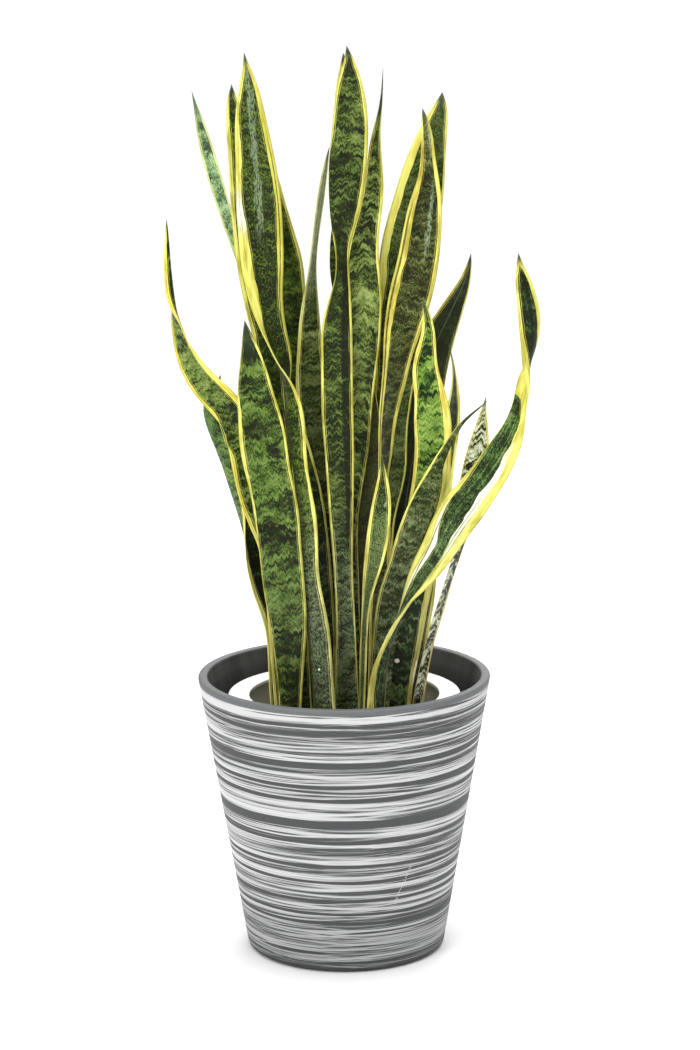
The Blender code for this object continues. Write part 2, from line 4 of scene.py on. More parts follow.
import bmesh
import bpy
import numpy as np
from mathutils import Euler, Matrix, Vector


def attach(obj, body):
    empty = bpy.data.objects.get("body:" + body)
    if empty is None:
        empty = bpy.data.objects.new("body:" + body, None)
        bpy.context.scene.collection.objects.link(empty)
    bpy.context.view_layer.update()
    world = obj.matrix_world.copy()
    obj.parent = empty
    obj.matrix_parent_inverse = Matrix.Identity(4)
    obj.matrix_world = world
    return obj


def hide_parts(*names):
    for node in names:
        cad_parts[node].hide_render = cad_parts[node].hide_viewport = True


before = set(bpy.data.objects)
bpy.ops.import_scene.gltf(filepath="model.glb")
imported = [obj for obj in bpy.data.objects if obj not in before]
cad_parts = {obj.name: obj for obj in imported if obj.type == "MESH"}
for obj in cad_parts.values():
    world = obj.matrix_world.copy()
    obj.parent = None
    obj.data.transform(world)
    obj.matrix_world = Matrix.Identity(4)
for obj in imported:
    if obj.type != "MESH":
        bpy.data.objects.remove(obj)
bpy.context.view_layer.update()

# The camera and the studio: metres, degrees, and millimetres for the lens and the sensor
CAMERA_PLACE = (0.0083, -3.5141, 1.2479)
CAMERA_DOWN = 11.751
CAMERA_ROLL = 0.422
CAMERA_LENS = 103.65
SENSOR_WIDTH = 36
FARTHEST_SEEN = 200
FLOOR_SIZE = 160
FLOOR_DROP = 0.0002
OVERHEAD_STRENGTH = 2.3
OVERHEAD_SPREAD = 70
SKY_STRENGTH = 0.42
# Each soft lamp's name, place, size, power and the height that it is aimed at
LAMPS = (
    ("key", (-1.9, -2.9, 2.4), 1.5, 56, 0.55),
    ("fill", (2.6, -2.2, 1.7), 2.2, 10, 0.5),
    ("back", (0.6, 3.4, 2.2), 2.6, 50, 0.5),
    ("top", (0.2, 0.2, 3.4), 2.4, 40, 0.6))

# The planter's turned profile, as the part has it
RIM_RADIUS = 0.175
FOOT_RADIUS = 0.1186
PLANTER_HEIGHT = 0.336
RIM_WIDTH = 0.0114
FLOOR_THICKNESS = 0.012
FOOT_ROUNDING = 0.009
RIM_ROUNDING = 0.003
GROW_POT_FOOT = 0.0123
GROW_POT_TOP = 0.3075
GROW_POT_FOOT_RADIUS = 0.099
GROW_POT_TOP_RADIUS = 0.1215
GROW_POT_WALL = 0.003
LIP_RADIUS = 0.131
LIP_THICKNESS = 0.0035
COLLAR_LOW = 0.3078
COLLAR_THICKNESS = 0.0038
COLLAR_OUTER_RADIUS = 0.1392
COLLAR_INNER_RADIUS = 0.1139
SOIL_TOP = 0.272
SOIL_RADIUS = 0.1154
SOIL_FLOOR = 0.0156
SOIL_FLOOR_RADIUS = 0.0959
SOIL_STEPS = 13
SOIL_CRUMB = 0.0035
COLLAR_ROUNDING = 0.0012
TURNED_SIDES = 224
CRISP_ANGLE = 32

# Points closer than this are one point
SAME_POINT = 0.00002


def colour(red, green, blue):
    """A screen colour, 0 to 255, as the linear colour that a shader takes."""
    parts = [c / 255 for c in (red, green, blue)]
    return tuple(c / 12.92 if c < 0.04045 else ((c + 0.055) / 1.055) ** 2.4 for c in parts) + (1.0,)


class Number:
    """A value inside a finish, which arithmetic works on."""

    def __init__(self, finish, out):
        self.finish = finish
        self.out = out

    def math(self, operation, *others):
        return self.finish.math(operation, self, *others)

    def __add__(self, other):
        return self.finish.math("ADD", self, other)

    def __radd__(self, other):
        return self.finish.math("ADD", other, self)

    def __sub__(self, other):
        return self.finish.math("SUBTRACT", self, other)

    def __rsub__(self, other):
        return self.finish.math("SUBTRACT", other, self)

    def __mul__(self, other):
        return self.finish.math("MULTIPLY", self, other)

    def __rmul__(self, other):
        return self.finish.math("MULTIPLY", other, self)

    def __truediv__(self, other):
        return self.finish.math("DIVIDE", self, other)

    def __rtruediv__(self, other):
        return self.finish.math("DIVIDE", other, self)

    def __abs__(self):
        return self.finish.math("ABSOLUTE", self)


class Finish:
    """A material under construction."""

    def __init__(self, name, **constants):
        self.material = bpy.data.materials.new(name)
        self.material.use_nodes = True
        self.nodes = self.material.node_tree.nodes
        self.links = self.material.node_tree.links
        self.shader = self.nodes["Principled BSDF"]
        for socket, value in constants.items():
            self.shader.inputs[socket.replace("_", " ")].default_value = value

    def node(self, kind, settings=None, values=None, out=0):
        """A node with its settings made first, then its sockets' values or links."""
        made = self.nodes.new(kind)
        for name, value in (settings or {}).items():
            if name == "stops":
                stops = made.color_ramp.elements
                for end in (0, -1):
                    stops[end].position, stops[end].color = value[end]
                for place, shade in value[1:-1]:
                    stops.new(place).color = shade
            else:
                setattr(made, name, value)
        for socket, value in (values or {}).items():
            if isinstance(value, Number):
                self.links.new(value.out, made.inputs[socket])
            else:
                made.inputs[socket].default_value = value
        return Number(self, made.outputs[out])

    def math(self, operation, *terms):
        return self.node("ShaderNodeMath", {"operation": operation}, dict(enumerate(terms)))

    def vector(self, x=0.0, y=0.0, z=0.0):
        return self.node("ShaderNodeCombineXYZ", None, {"X": x, "Y": y, "Z": z})

    def parts(self, vector):
        return [self.node("ShaderNodeSeparateXYZ", None, {0: vector}, out) for out in range(3)]

    def place(self):
        return self.node("ShaderNodeTexCoord", out="Object")

    def surface(self, name):
        return self.node("ShaderNodeUVMap", {"uv_map": name})

    def noise(self, vector, scale=1.0, detail=2.0, roughness=0.5):
        return self.node("ShaderNodeTexNoise", None, {
            "Vector": vector, "Scale": scale, "Detail": detail, "Roughness": roughness})

    def step(self, value, low, high):
        """0 below low and 1 above high, with a smooth rise between. low may be above high."""
        return self.node("ShaderNodeMapRange", {"interpolation_type": "SMOOTHSTEP"}, {
            "Value": value, "From Min": low, "From Max": high})

    def mix(self, share, first, second, blend="MIX"):
        return self.node("ShaderNodeMix", {"data_type": "RGBA", "blend_type": blend},
                         {0: share, 6: first, 7: second}, 2)

    def ramp(self, value, stops):
        return self.node("ShaderNodeValToRGB", {"stops": stops}, {0: value})

    def bump(self, height, strength, distance):
        return self.node("ShaderNodeBump", None, {
            "Height": height, "Strength": strength, "Distance": distance})

    def feed(self, **sockets):
        for socket, value in sockets.items():
            self.links.new(value.out, self.shader.inputs[socket.replace("_", " ")])


def deselect():
    bpy.ops.object.select_all(action="DESELECT")


def pick(piece):
    deselect()
    piece.select_set(True)
    bpy.context.view_layer.objects.active = piece


def settle(piece):
    """Puts a finished piece's place, turn and scale into its mesh."""
    pick(piece)
    bpy.ops.object.transform_apply(location=True, rotation=True, scale=True)


def set_down(piece, finish, node, body="root"):
    """A finished piece gets its material, stands for its CAD node and rides with the body."""
    piece.data.materials.clear()
    piece.data.materials.append(finish.material)
    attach(piece, body)
    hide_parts(node)


# Leaves

# A strip with a strength below 0 is lighter: painted light on the broad leaf, and pale marks on the long
# tip
# What a leaf looks like. Widths, heights and sizes of marks are in metres.
# left, right: width of each margin, or its (height, width) pairs, up to share of half the leaf's width
# yellow, gold: the margins' two colours, and olive is how far painted shade turns the left and the right
# one to gold
# painted_highlight: how white a painted highlight makes the left and the right margin, from highlight_from
# of their width inwards
# hair_line: how plain the fine lines in and beside the margins are
# threads: green lines in a margin: side, way in, half width, and the heights that each lies between
# dark, mid, light, pale: the greens, and level is how light their mix is, with zones of (height, more) that
# also paint shade
# broad, band: strength and spacing of the broad crossbands, and stroke, thin those of the fine strokes
# jag, zigzag, teeth: how ragged these are and how wide a tooth is, and chevron is their rise to the midrib
# mottle, speck, lines: strength of the blotches, the dots and the long fibres
# dark_at: single dark crossbands, each with its height and thickness
# streaks, painted_shade_and_pale_strips: pale lines, and dark strips of painted shade, along the leaf:
# place across, half width, strength, and two heights
# tip: length of the dry tip
# painted_base_shade, greyed: how dark painted shade makes the leaf near the soil, and how grey the leaf
# turns there
# marks: small scars: x, height, half width, half height, lean, colour
# curl: the leaf turns over: height, push of the middle, push of the right margin
LEAF_LOOK = dict(
    left=0.0034, right=0.0034, share=0.42, yellow=colour(245, 241, 126), gold=colour(192, 184, 70),
    olive=(0.0, 0.0), painted_highlight=(0.0, 0.0), highlight_from=0.5, hair_line=0.55, threads=(),
    dark=colour(22, 28, 6), mid=colour(44, 58, 16), light=colour(80, 100, 30), pale=colour(126, 146, 64),
    level=0.45, zones=0.0, broad=0.8, band=0.022, stroke=1.3, thin=0.0036,
    jag=0.010, zigzag=0.0025, teeth=0.0095, chevron=0.0, mottle=0.75, speck=0.4, lines=0.2,
    dark_at=(), streaks=(), painted_shade_and_pale_strips=(), tip=0.03, painted_base_shade=0.25, greyed=0.35, marks=(), curl=(),
)

LEAF_LOOKS = {
    "leaf_front_left_broad": dict(
        left=((0.3, 0.0012), (0.5, 0.0014), (0.57, 0.0026), (0.61, 0.0046), (0.665, 0.0046),
              (0.69, 0.0012)),
        right=0.003, level=0.43,
        mid=colour(44, 58, 18), light=colour(88, 112, 40), pale=colour(130, 158, 82),
        jag=0.012, zigzag=0.0035, teeth=0.008, broad=1.2, stroke=1.5, thin=0.0046, mottle=0.6,
        tip=0.06, painted_base_shade=0.3, greyed=0.1,
        zones=((0.3, -0.16), (0.37, -0.08), (0.42, 0.04), (0.45, 0.08), (0.5, -0.08), (0.53, -0.08),
               (0.58, 0.1), (0.64, 0.04), (0.69, 0.02), (0.715, -0.04), (0.74, -0.16)),
        dark_at=((0.73, 0.004), (0.702, 0.003), (0.676, 0.003), (0.525, 0.005), (0.4, 0.004),
                 (0.374, 0.003)),
        # Its first strip is a painted shadow, its second a strip of painted light
        painted_shade_and_pale_strips=((0.010, 0.009, 0.25, 0.59, 0.64), (-0.014, 0.010, -0.12, 0.34, 0.5))),
    "leaf_left_sweep": dict(
        left=((0.3, 0.0034), (0.55, 0.0046), (0.612, 0.0046), (0.622, 0.0008), (0.648, 0.0008),
              (0.66, 0.0034)),
        right=0.0085, yellow=colour(248, 238, 112), gold=colour(220, 202, 68),
        level=0.49, zones=((0.6, -0.05), (0.76, 0.0), (0.8, -0.25)), stroke=1.5,
        light=colour(92, 114, 44), pale=colour(146, 166, 88)),
    "leaf_left_low": dict(
        left=((0.3, 0.004), (0.44, 0.007), (0.51, 0.007), (0.53, 0.005), (0.56, 0.0032)),
        right=0.0024, share=0.8, yellow=colour(255, 250, 140), gold=colour(232, 224, 90),
        # Its low zones paint the shaded inside of its trough near-black
        level=0.56, zones=((0.3, -0.5), (0.46, -0.45), (0.56, -0.05), (0.6, 0.0)),
        light=colour(76, 108, 54), tip=0.06, painted_base_shade=0.0),
    "leaf_left_dark": dict(left=0.0048, right=0.002, level=0.38),
    "leaf_left_tall": dict(
        left=((0.5, 0.003), (0.7, 0.004), (0.73, 0.007), (0.76, 0.012), (0.8, 0.016), (0.84, 0.0135),
              (0.87, 0.010), (0.9, 0.0078), (0.97, 0.0065), (1.02, 0.0045), (1.07, 0.003)),
        right=((0.3, 0.003), (0.75, 0.0035), (0.85, 0.007), (0.95, 0.008), (1.05, 0.004)),
        share=0.7, olive=(0.0, 0.6), threads=(("right", 0.0036, 0.0009, 0.74, 0.97),),
        # A stretch of its left margin is whitened by a painted highlight
        painted_highlight=(((0.865, 0.0), (0.885, 0.85), (0.9, 0.85), (0.925, 0.0)), 0.0), highlight_from=-0.3,
        level=0.39, broad=0.4, mottle=1.4, stroke=1.0, streaks=((0.0, 0.0055, 0.6, 0.87, 1.2),),
        zones=((0.3, 0.1), (0.45, 0.14), (0.58, 0.14), (0.66, 0.0), (0.72, -0.12), (0.85, -0.1),
               (0.95, 0.02), (1.05, -0.02)),
        painted_base_shade=0.1, greyed=0.6,
        marks=((-0.0294, 0.3585, 0.0013, 0.0017, 0.0, colour(236, 240, 230)),)),
    "leaf_left_back": dict(left=0.004, right=0.0034, level=0.47, olive=(0.5, 0.0)),
    "leaf_far_left_slender": dict(
        left=0.0022, right=0.0022, level=0.6, dark=colour(48, 70, 54), mid=colour(86, 112, 78), band=0.03,
        light=colour(128, 160, 106), pale=colour(180, 208, 160), yellow=colour(232, 240, 160),
        gold=colour(206, 214, 130), tip=0.07, mottle=1.4, stroke=1.6, thin=0.006, jag=0.014,
        zones=((0.85, -0.08), (0.9, -0.02), (0.95, 0.0)),
        dark_at=((0.984, 0.010), (0.962, 0.009))),
    "leaf_centre_left_short": dict(left=0.002, right=0.003, level=0.32),
    "leaf_centre_left_slender": dict(
        left=((0.3, 0.004), (0.7, 0.004), (0.76, 0.0055), (0.96, 0.004)), right=0.002, share=0.7, level=0.5,
        yellow=colour(255, 252, 160), gold=colour(236, 226, 110), light=colour(86, 100, 46),
        pale=colour(140, 152, 96), streaks=((0.002, 0.003, 0.7, 0.84, 0.95),),
        zones=((0.3, 0.0), (0.75, -0.04), (0.84, 0.05), (0.87, 0.12), (0.95, 0.12))),
    "leaf_centre_tall": dict(
        left=((0.3, 0.0026), (0.8, 0.003), (0.855, 0.003), (0.875, 0.0004), (0.96, 0.0004),
              (0.985, 0.0022)),
        right=((0.3, 0.0018), (0.6, 0.0026), (0.8, 0.003), (0.95, 0.0045), (1.05, 0.0035)),
        olive=(0.0, 0.4), level=0.42, chevron=0.2, stroke=1.5, broad=0.5, thin=0.0032, zigzag=0.0032,
        mid=colour(46, 60, 20), light=colour(86, 106, 42), pale=colour(128, 148, 78),
        painted_base_shade=0.1, greyed=0.5,
        zones=((0.3, 0.1), (0.46, 0.06), (0.52, -0.04), (0.6, -0.06), (0.7, -0.05), (0.8, -0.1),
               (0.94, -0.12), (0.965, 0.08), (1.02, 0.1), (1.04, -0.1), (1.07, -0.2)),
        dark_at=((0.953, 0.004), (0.985, 0.004), (1.02, 0.003)),
        # Its strip on the right is the painted shadow of its fold
        painted_shade_and_pale_strips=((0.011, 0.007, 0.25, 0.5, 0.84),)),
    "leaf_centre_tall_behind": dict(
        left=((0.8, 0.0), (0.9, 0.0), (0.98, 0.0036)), right=0.0036, level=0.36),
    "leaf_centre_long_tip": dict(
        left=0.002, right=((0.3, 0.0015), (0.62, 0.0015), (0.7, 0.0035), (0.9, 0.0035), (0.97, 0.002)),
        level=0.42, chevron=0.6, tip=0.12, dark_at=((0.955, 0.007),), stroke=1.7, broad=0.9,
        mid=colour(48, 60, 24), light=colour(90, 110, 42), pale=colour(152, 168, 94),
        painted_shade_and_pale_strips=((0.0, 0.012, -0.16, 0.54, 0.8),), painted_base_shade=0.2,
        zones=((0.3, -0.1), (0.5, -0.1), (0.62, -0.06), (0.72, 0.0), (0.78, 0.1), (0.84, 0.02),
               (0.93, 0.12), (0.97, 0.04), (1.0, -0.05))),
    "leaf_centre_dark": dict(
        left=0.001, right=0.001, level=0.3, dark=colour(52, 54, 30), mid=colour(84, 86, 46), stroke=0.7),
    "leaf_front_short": dict(
        left=((0.3, 0.006), (0.45, 0.007), (0.55, 0.0035)),
        right=((0.3, 0.004), (0.42, 0.006), (0.5, 0.0035)),
        level=0.48, mottle=1.5, speck=1.1, stroke=0.6, broad=0.5, light=colour(88, 112, 52),
        zones=((0.46, 0.0), (0.5, 0.08), (0.538, 0.1), (0.55, -0.16), (0.57, -0.2)),
        marks=((0.0495, 0.557, 0.0018, 0.0034, 0.3, colour(126, 140, 112)),)),
    "leaf_right_tall_front": dict(
        left=((0.3, 0.003), (0.5, 0.004), (0.6, 0.0095), (0.85, 0.0105), (0.94, 0.005), (1.0, 0.004)),
        right=0.0048, yellow=colour(236, 226, 112), gold=colour(180, 166, 62),
        threads=(("left", 0.0036, 0.0017, 0.56, 0.9),), level=0.42, broad=0.5, stroke=1.4, thin=0.0028,
        mid=colour(50, 54, 20), light=colour(82, 90, 38), pale=colour(136, 140, 92),
        streaks=((0.004, 0.005, 0.8, 0.955, 1.2), (0.007, 0.0035, 0.7, 0.84, 0.92)),
        zones=((0.3, 0.0), (0.8, 0.0), (0.92, -0.08), (0.95, 0.1), (1.0, 0.2))),
    "leaf_right_tall_back": dict(
        left=((0.3, 0.002), (0.75, 0.004), (0.82, 0.011), (0.97, 0.011), (1.0, 0.005)),
        right=0.0024, level=0.45, mottle=0.5, broad=0.4, stroke=0.8, gold=colour(226, 212, 96),
        light=colour(88, 104, 52), pale=colour(130, 146, 90)),
    "leaf_front_right_wavy": dict(
        left=((0.3, 0.002), (0.5, 0.003), (0.6, 0.0045), (0.66, 0.003), (0.7, 0.005), (0.74, 0.005)),
        right=((0.3, 0.005), (0.42, 0.007), (0.52, 0.012), (0.6, 0.0115), (0.67, 0.0095), (0.7, 0.005),
               (0.72, 0.0035), (0.76, 0.003)),
        gold=colour(214, 192, 80), dark=colour(16, 34, 8), mid=colour(36, 66, 20),
        light=colour(96, 130, 42), pale=colour(160, 190, 92),
        level=0.5, broad=1.0, stroke=1.6, thin=0.0044, zigzag=0.004, teeth=0.008, mottle=0.5,
        zones=((0.3, -0.16), (0.4, -0.2), (0.5, -0.3), (0.56, -0.1), (0.6, 0.0), (0.63, 0.12),
               (0.67, 0.06), (0.69, 0.0), (0.74, -0.16)),
        dark_at=((0.682, 0.003), (0.6, 0.004)), painted_base_shade=0.45,
        marks=((0.0627, 0.362, 0.003, 0.0026, 0.0, colour(255, 248, 226)),
               (0.084, 0.349, 0.0017, 0.015, 0.157, colour(252, 236, 206)))),
    "leaf_front_whisker": dict(
        left=0.0026, right=0.0, share=0.3, level=0.45, stroke=1.3, mottle=0.9, thin=0.005,
        light=colour(86, 100, 48), pale=colour(140, 152, 106), tip=0.07),
    "leaf_front_right_sweep": dict(
        left=((0.4, 0.004), (0.45, 0.009), (0.49, 0.0132), (0.52, 0.0125), (0.55, 0.0095), (0.58, 0.006),
              (0.6, 0.003), (0.62, 0.001), (0.706, 0.001), (0.715, 0.008), (0.82, 0.006)),
        right=((0.4, 0.006), (0.45, 0.011), (0.5, 0.017), (0.56, 0.0185), (0.6, 0.018), (0.64, 0.0145),
               (0.66, 0.0145), (0.672, 0.018), (0.684, 0.025), (0.696, 0.045), (0.705, 0.045),
               (0.72, 0.015), (0.735, 0.009), (0.755, 0.005), (0.78, 0.0028)),
        # The white in both margins is a painted highlight
        painted_highlight=(((0.45, 0.2), (0.48, 0.9), (0.54, 0.9), (0.57, 0.0)),
               ((0.49, 0.0), (0.52, 0.7), (0.6, 0.9), (0.64, 0.0))),
        threads=(("left", 0.0092, 0.0009, 0.43, 0.58), ("right", 0.0105, 0.0006, 0.4, 0.55),
                 ("right", 0.0142, 0.0006, 0.42, 0.57)),
        share=2.0, olive=(0.3, 0.0), level=0.42, zones=((0.5, 0.0), (0.7, 0.0), (0.74, -0.25)),
        mid=colour(42, 60, 24), light=colour(76, 104, 46), pale=colour(132, 160, 96),
        mottle=1.0, stroke=0.7, lines=1.2, painted_base_shade=0.2,
        curl=((0.65, 0.0, 0.0), (0.666, 0.0, -0.001), (0.69, 0.002, -0.004), (0.704, 0.004, -0.001),
              (0.714, 0.003, 0.0), (0.737, 0.0, 0.0))),
    "leaf_right_pale": dict(
        left=0.0016, right=((0.3, 0.006), (0.4, 0.005), (0.5, 0.002), (0.66, 0.003)),
        yellow=colour(226, 214, 110), gold=colour(186, 160, 60), dark=colour(16, 22, 8),
        mid=colour(66, 78, 38), light=colour(160, 170, 116), pale=colour(232, 234, 210),
        level=0.49, broad=1.2, stroke=3.2, thin=0.0054, chevron=0.6,
        zones=((0.3, -0.12), (0.4, -0.08), (0.47, -0.25), (0.54, -0.2), (0.58, -0.03), (0.66, 0.03)),
        painted_base_shade=0.0, greyed=0.6),
    "leaf_right_short_back": dict(left=0.0052, right=0.005, level=0.3),
    "leaf_right_lean_back": dict(
        left=0.003, right=0.0014, level=0.3, mottle=0.4, broad=0.3, stroke=0.4, dark=colour(32, 38, 24),
        mid=colour(48, 56, 34), light=colour(74, 84, 50), olive=(0.5, 0.5),
        streaks=((0.0, 0.0008, 0.2, 0.0, 1.2),)),
    "leaf_back_left": dict(),
    "leaf_back_left_centre": dict(level=0.53),
    "leaf_back_centre": dict(left=0.005, right=0.005),
    "leaf_back_right": dict(level=0.43),
}

# Greatest height and margin width that a leaf's pairs may hold
TALLEST = 1.1
WIDEST_MARGIN = 0.045

# Colours that all leaves share
STREAK = colour(158, 178, 140)
# The white of a painted highlight on a margin
HIGHLIGHT_WHITE = colour(250, 251, 240)
DULL_TIP = colour(54, 66, 50)
DRY_POINT = colour(84, 80, 74)
PAINTED_SHADE_NEAR_SOIL = colour(30, 32, 12)
SOIL_GREY = colour(120, 128, 110)

# Lengths that all leaves share: how far marks sway and how deep their nicks are, how ragged a margin is,
# the fine lines' half width and way off the margin, the soft ends of long marks, the narrowest streak that
# looks brushed, the dry point, and the height below which a leaf turns greyer and darker with painted shade
SWAY = 0.02
NICK = 0.004
RAGGED = 0.0012
HAIR_HALF_WIDTH = 0.0005
HAIR_OFFSET = 0.0014
SOFT_END = 0.02
BRUSHED_FROM = 0.002
DRY_POINT_LENGTH = 0.008
DULL_BELOW = 0.62

# Strengths that all leaves share, and how far apart the leaves lie in their noises
DARK_BAND_STRENGTH = 0.35
THREAD_STRENGTH = 0.85
HAIR_STRENGTH = 0.8
LEAF_APART = 7.31

# The eight points in a row round a leaf, from its left margin over the front to the right one and back: how
# far across it each lies, in shares of its half width, and the places of four of them
ROW_SHARES = (-1, -0.5, 0, 0.5, 1, 0.5, 0, -0.5)
LEFT = 0
FRONT = 2
RIGHT = 4
BACK = 6
LEAF_SMOOTHING = 2


class LeafSkin(Finish):
    """A leaf's waxy skin: ragged dark crossbands and short strokes in the green, and yellow margins."""

    def __init__(self, name, number, look):
        super().__init__(name, Specular_IOR_Level=0.15)
        self.look = look
        self.seed = number * LEAF_APART
        self.across, self.along, _ = self.parts(self.surface("blade"))
        self.half, self.to_tip, _ = self.parts(self.surface("span"))
        self.from_side, _, self.height = self.parts(self.place())
        self.sway = self.spots(wide=0.03, high=0.05, layer=0, detail=1)
        self.teeth = self.spots(wide=0.0027, high=0.02, layer=3, detail=1)
        self.nicks = self.spots(wide=0.0011, high=0.006, layer=5)
        self.mottle = self.spots(wide=0.0016, high=0.0026, layer=25, roughness=0.6)
        yellow, rim = self.margins()
        paint = self.mix(yellow, self.green(), rim)
        paint = self.scarred(self.weathered_and_shaded(paint, yellow))
        vein = self.spots(wide=0.0009, high=0.09, layer=71)
        self.feed(
            Base_Color=paint,
            Roughness=0.46 + (self.mottle - 0.5) * 0.16,
            Normal=self.bump(vein + self.mottle * 0.5, 0.25, 0.0005))

    def spots(self, wide, high, layer, up=None, detail=2, roughness=0.5):
        """A noise whose spots are so wide across the leaf and so high along it, or up another value."""
        where = self.vector(self.across / wide, (up or self.along) / high, self.seed + layer)
        return self.noise(where, detail=detail, roughness=roughness)

    def by_height(self, pairs, scale, middle=0.0):
        """A value that changes with height, read off its (height, value) pairs."""
        if isinstance(pairs, float):
            return pairs
        stops = [(h / TALLEST, ((v / scale + middle),) * 3 + (1.0,)) for h, v in pairs]
        return (self.ramp(self.height / TALLEST, stops) - middle) * scale

    def between(self, low, high):
        """1 between two heights, with soft ends."""
        rise = self.step(self.height, low - SOFT_END, low + SOFT_END)
        return rise * self.step(self.height, high + SOFT_END, high - SOFT_END)

    def green(self):
        """The green: bands, strokes, blotches, dots and fibres, then single bands, strips of painted shade,
        light and pale marks, and streaks.
        """
        look = self.look
        # Every mark that crosses the leaf is jagged, and on some leaves it rises to the midrib
        saw = abs((self.across / look["teeth"] + self.sway * 2).math("FRACT") - 0.5) * 2
        shift = (self.sway - 0.5) * SWAY + (self.teeth - 0.5) * look["jag"]
        shift = shift + (self.nicks - 0.5) * NICK - saw * look["zigzag"]
        level = self.along + shift + abs(self.across) * look["chevron"]

        tone = look["level"] + self.by_height(look["zones"], 1.0, 0.5)
        for pattern, strength in (
                (self.spots(0.05, look["band"], 9, level, roughness=0.6), "broad"),
                (self.spots(0.016, look["thin"], 13, level), "stroke"),
                (self.mottle, "mottle"),
                (self.spots(wide=0.0010, high=0.0012, layer=29, detail=1), "speck"),
                (self.spots(wide=0.0014, high=0.07, layer=31), "lines")):
            tone = tone + (pattern - 0.5) * look[strength]
        for place, thickness in look["dark_at"]:
            near = self.step(abs(self.height - place + shift), thickness * 0.75, thickness * 0.35)
            tone = tone - near * DARK_BAND_STRENGTH
        # Strips of painted shade; those with a strength below 0 are lighter
        for middle, wide, strength, low, high in look["painted_shade_and_pale_strips"]:
            near = self.step(abs(self.across - middle), wide, wide * 0.5)
            tone = tone - near * self.between(low, high) * strength
        green = self.ramp(tone, [
            (0.16, look["dark"]), (0.38, look["mid"]), (0.53, look["light"]), (0.92, look["pale"])])
        for middle, wide, strength, low, high in look["streaks"]:
            near = self.step(abs(self.across - middle + (self.teeth - 0.5) * wide * 2), wide, wide * 0.3)
            if wide > BRUSHED_FROM:
                near = near * self.step(self.spots(0.0014, 0.004, 33, level), 0.36, 0.6)
            green = self.mix(near * self.between(low, high) * strength, green, STREAK)
        return green

    def margins(self):
        """How yellow the leaf is, and the colour of its margins with their painted highlight."""
        look = self.look
        right = self.step(self.across, -0.0003, 0.0003)
        ragged = (self.spots(wide=0.002, high=0.012, layer=41) - 0.5) * RAGGED
        shows = self.noise(self.vector(right * 5.0, self.along / 0.09, self.seed + 51))
        shows = self.step(shows, 0.44, 0.52) * look["hair_line"]
        left_yellow, left_highlight = self.margin("left", 1, ragged, shows)
        right_yellow, right_highlight = self.margin("right", -1, ragged, shows)
        yellow = left_yellow.math("MAXIMUM", right_yellow)
        yellow = yellow * (1 - self.step(self.to_tip, look["tip"] * 0.6, look["tip"] * 0.15) * 0.75)
        cream = self.step(self.spots(wide=0.006, high=0.03, layer=61), 0.3, 0.62)
        # olive paints shade on a margin, turning its yellow towards gold
        cream = cream * (1 - (1 - right) * look["olive"][0] - right * look["olive"][1])
        rim = self.mix(cream, look["gold"], look["yellow"])
        # A painted highlight whitens parts of some margins
        if any(look["painted_highlight"]):
            rim = self.mix(left_highlight.math("MAXIMUM", right_highlight), rim, HIGHLIGHT_WHITE)
        return yellow, rim

    def margin(self, side, sign, ragged, shows):
        """How yellow one margin is and how white its painted highlight is, with its fine green line and the
        yellow one beside it.
        """
        look = self.look
        edge = self.half + self.across * sign + ragged
        drift = self.noise(self.vector(sign * 3.0, self.along / 0.05, self.seed + 37), detail=2)
        width = (drift * 0.9 + 0.5) * self.by_height(look[side], WIDEST_MARGIN)
        width = width.math("MINIMUM", self.half * look["share"])
        band = self.step(edge, width + 0.0002, width - 0.0003)
        for thread_side, inset, wide, low, high in look["threads"]:
            if thread_side == side:
                thread = self.step(abs(edge - inset), wide, wide * 0.4) * self.between(low, high)
                band = band * (1 - thread * THREAD_STRENGTH)
        inside = self.step(abs(edge - width * 0.5), HAIR_HALF_WIDTH, 0.0002) * shows
        beside = self.step(abs(edge - width - HAIR_OFFSET), HAIR_HALF_WIDTH, 0.0002) * shows
        beside = beside * self.step(width, 0.0008, 0.0016)
        yellow = (band * (1 - inside * HAIR_STRENGTH)).math("MAXIMUM", beside * HAIR_STRENGTH)
        inwards = self.step(edge, width * look["highlight_from"], width * (look["highlight_from"] + 0.2))
        highlight = self.by_height(look["painted_highlight"][("left", "right").index(side)], 1.0)
        return yellow, band * inwards * highlight

    def weathered_and_shaded(self, paint, yellow):
        """The tip darkens and ends in a dry point, and near the soil the leaf turns greyer and darker with
        painted shade.
        """
        look = self.look
        near_tip = self.step(self.to_tip, look["tip"], 0.005) * (1 - yellow * 0.8) * 0.75
        paint = self.mix(near_tip, paint, DULL_TIP)
        paint = self.mix(self.step(self.to_tip, DRY_POINT_LENGTH, 0.003), paint, DRY_POINT)
        low = self.step(self.height, DULL_BELOW, 0.4)
        paint = self.mix(low * look["greyed"] * (1 - yellow * 0.7), paint, SOIL_GREY, "SATURATION")
        # Painted shade: the leaf darkens towards the soil, where the leaves stand close together
        return self.mix(self.step(self.height, DULL_BELOW, 0.33) * look["painted_base_shade"], paint, PAINTED_SHADE_NEAR_SOIL)

    def scarred(self, paint):
        """The leaf's small scars."""
        for at, at_height, half_wide, half_high, lean, shade in self.look["marks"]:
            above = (self.height - at_height) / half_high
            aside = (self.from_side - at - (self.height - at_height) * lean) / half_wide
            spot = self.step(aside * aside + above * above + (self.nicks - 0.5) * 1.6, 1.2, 0.7)
            paint = self.mix(spot, paint, shade)
        return paint


